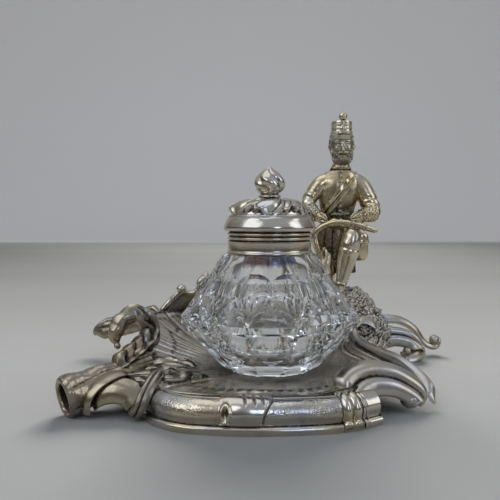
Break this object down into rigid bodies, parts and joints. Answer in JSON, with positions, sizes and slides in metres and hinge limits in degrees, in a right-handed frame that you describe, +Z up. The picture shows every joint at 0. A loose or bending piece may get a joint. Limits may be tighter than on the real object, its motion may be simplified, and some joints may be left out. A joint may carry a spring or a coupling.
{
  "type": "desk inkstand",
  "caption": "Scrolled silver-plated desk inkstand with a lift-out cut-glass inkwell, hinged domed lid, two leaf pen rests and a kneeling rifleman on a rocky mound",
  "frame": {"origin": "middle of the inkstand's plan, on the table it stands on", "axes": "+Z up, +X to the right of a person writing at the desk, -Y towards that person"},
  "size_m": [0.2346, 0.1692, 0.1584],
  "materials": {
    "tray_dish": "silver plate, polished, tarnished in the hollows",
    "front_rail": "silver plate, polished, with two fine-grained panels",
    "rail_ribbon_band": "silver plate, polished bright",
    "rail_end_rolls": "silver plate, polished",
    "rail_end_block": "silver plate, polished",
    "rear_rail": "silver plate, polished",
    "right_front_scroll": "silver plate, polished, dark in the grooves",
    "right_rim_ribbon": "silver plate, polished",
    "right_rear_scroll": "silver plate, polished",
    "right_rear_curl": "silver plate, polished",
    "rear_left_scroll": "silver plate, polished",
    "left_branch_arm": "silver plate, cast bark texture, tarnished",
    "left_strap_scroll": "silver plate, polished",
    "rail_left_scroll": "silver plate, polished",
    "left_apron": "silver plate, tarnished",
    "left_pen_rest": "silver plate, polished, dark in the veins",
    "rear_pen_rest": "silver plate, polished",
    "rear_leaf": "silver plate, polished",
    "rock_mound": "silver plate, rough cast, darkened",
    "mound_stud": "brass, dull",
    "mound_nut": "brass, dull",
    "figure_tunic": "silver plate, satin, darkened",
    "figure_head": "silver plate, satin, darkened",
    "figure_shako": "silver plate, satin, darkened",
    "figure_shako_peak": "silver plate, satin",
    "figure_pompon": "silver plate, satin, darkened",
    "figure_right_arm": "silver plate, satin",
    "figure_left_arm": "silver plate, satin",
    "figure_right_leg": "silver plate, darkened",
    "figure_left_leg": "silver plate, satin",
    "figure_haversack": "silver plate, darkened",
    "figure_cross_belt": "silver plate, satin",
    "figure_rifle": "silver plate, satin",
    "inkwell_glass": "clear cut crystal, polished",
    "inkwell_collar": "silver plate, polished bright",
    "hinge_pin": "brass",
    "lid": "silver plate, polished bright",
    "bud_finial": "silver plate, polished, dark between the sepals",
    "finial_nut": "brass, dull"
  },
  "bodies": {
    "tray": {"tray_dish": "tray_dish", "front_rail": "front_rail", "rail_ribbon_band": "rail_ribbon_band", "rail_end_rolls": "rail_end_rolls", "rail_end_block": "rail_end_block", "rear_rail": "rear_rail", "right_front_scroll": "right_front_scroll", "right_rim_ribbon": "right_rim_ribbon", "right_rear_scroll": "right_rear_scroll", "right_rear_curl": "right_rear_curl", "rear_left_scroll": "rear_left_scroll", "left_branch_arm": "left_branch_arm", "left_strap_scroll": "left_strap_scroll", "rail_left_scroll": "rail_left_scroll", "left_apron": "left_apron", "left_pen_rest": "left_pen_rest", "rear_pen_rest": "rear_pen_rest", "rear_leaf": "rear_leaf", "rock_mound": "rock_mound", "mound_stud": "mound_stud", "mound_nut": "mound_nut", "figure_tunic": "figure_tunic", "figure_head": "figure_head", "figure_shako": "figure_shako", "figure_shako_peak": "figure_shako_peak", "figure_pompon": "figure_pompon", "figure_right_arm": "figure_right_arm", "figure_left_arm": "figure_left_arm", "figure_right_leg": "figure_right_leg", "figure_left_leg": "figure_left_leg", "figure_haversack": "figure_haversack", "figure_cross_belt": "figure_cross_belt", "figure_rifle": "figure_rifle"},
    "inkwell": {"inkwell_glass": "inkwell_glass", "inkwell_collar": "inkwell_collar", "hinge_pin": "hinge_pin"},
    "lid": {"lid": "lid", "bud_finial": "bud_finial", "finial_nut": "finial_nut"}
  },
  "joints": [
    {"name": "inkwell_lift", "type": "slide", "parent": "tray", "child": "inkwell", "axis": [0, 0, 1], "range_m": [0, 0.16]},
    {"name": "lid_hinge", "type": "hinge", "parent": "inkwell", "child": "lid", "pos_m": [-0.0007, 0.00123, 0.0861], "axis": [-1, 0, 0], "range_deg": [0, 100]}
  ]
}
